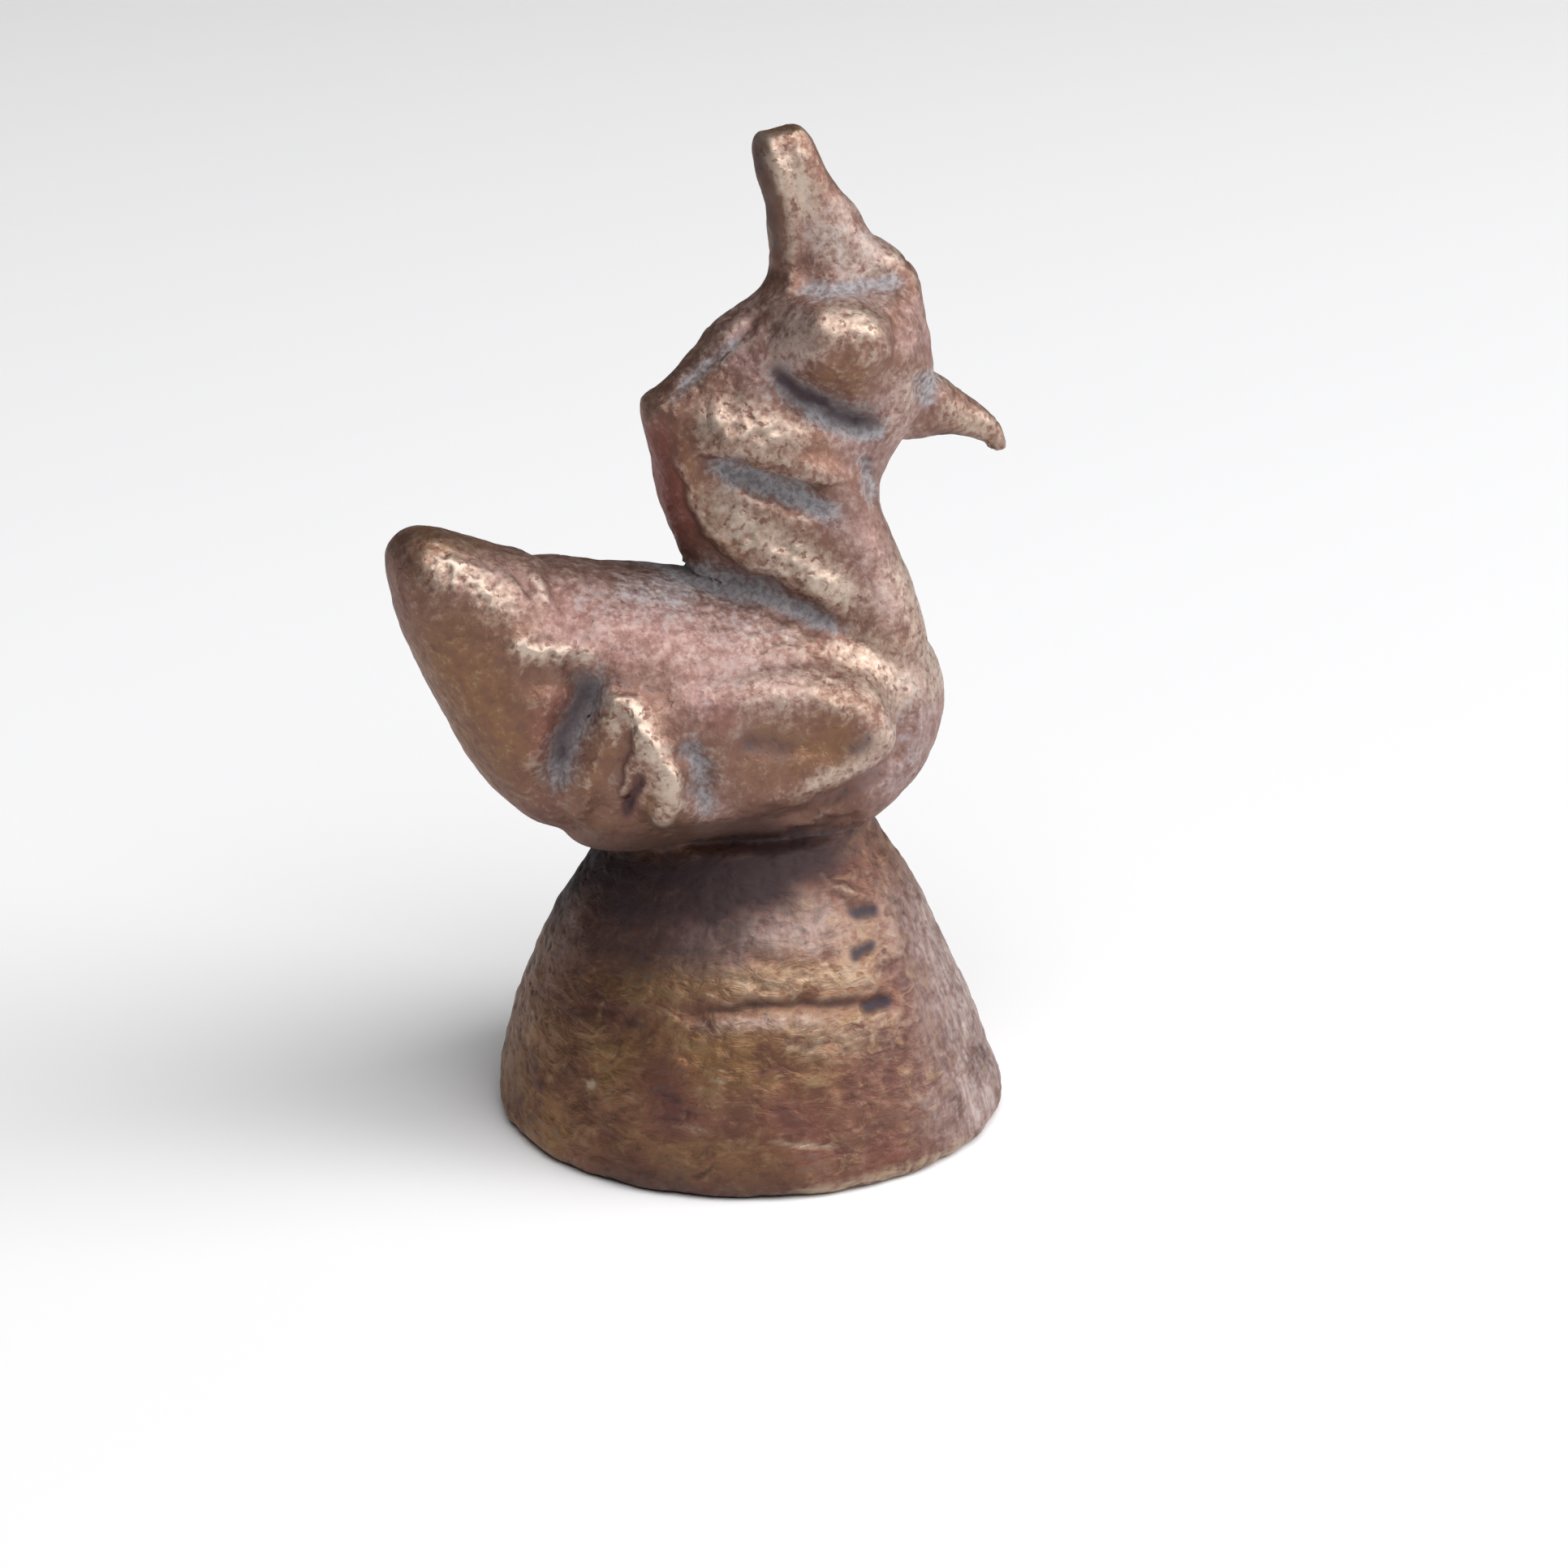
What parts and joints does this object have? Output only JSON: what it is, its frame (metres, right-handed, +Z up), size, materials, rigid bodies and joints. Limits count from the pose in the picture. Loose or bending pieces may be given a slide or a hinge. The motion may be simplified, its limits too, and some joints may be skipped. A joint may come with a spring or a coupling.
{
  "type": "cast brass duck weight",
  "caption": "Small solid brass duck with a crest, pellet eyes and a hooked beak, cast on a domed foot; a free-standing ornament or scale weight.",
  "frame": {"origin": "middle of the foot's flat underside", "axes": "+Z up, +X towards the beak, +Y to the duck's left"},
  "size_m": [0.0323, 0.026, 0.0501],
  "materials": {
    "bird_brass": "worn cast brass with grey-green tarnish in the creases",
    "foot_brass": "file-marked cast brass with brown tarnish"
  },
  "bodies": {
    "root": {"base": "foot_brass", "body": "bird_brass", "tail": "bird_brass", "right_wing": "bird_brass", "left_wing": "bird_brass", "neck": "bird_brass", "head": "bird_brass", "crest": "bird_brass", "beak": "bird_brass", "right_eye": "bird_brass", "left_eye": "bird_brass"}
  },
  "joints": []
}
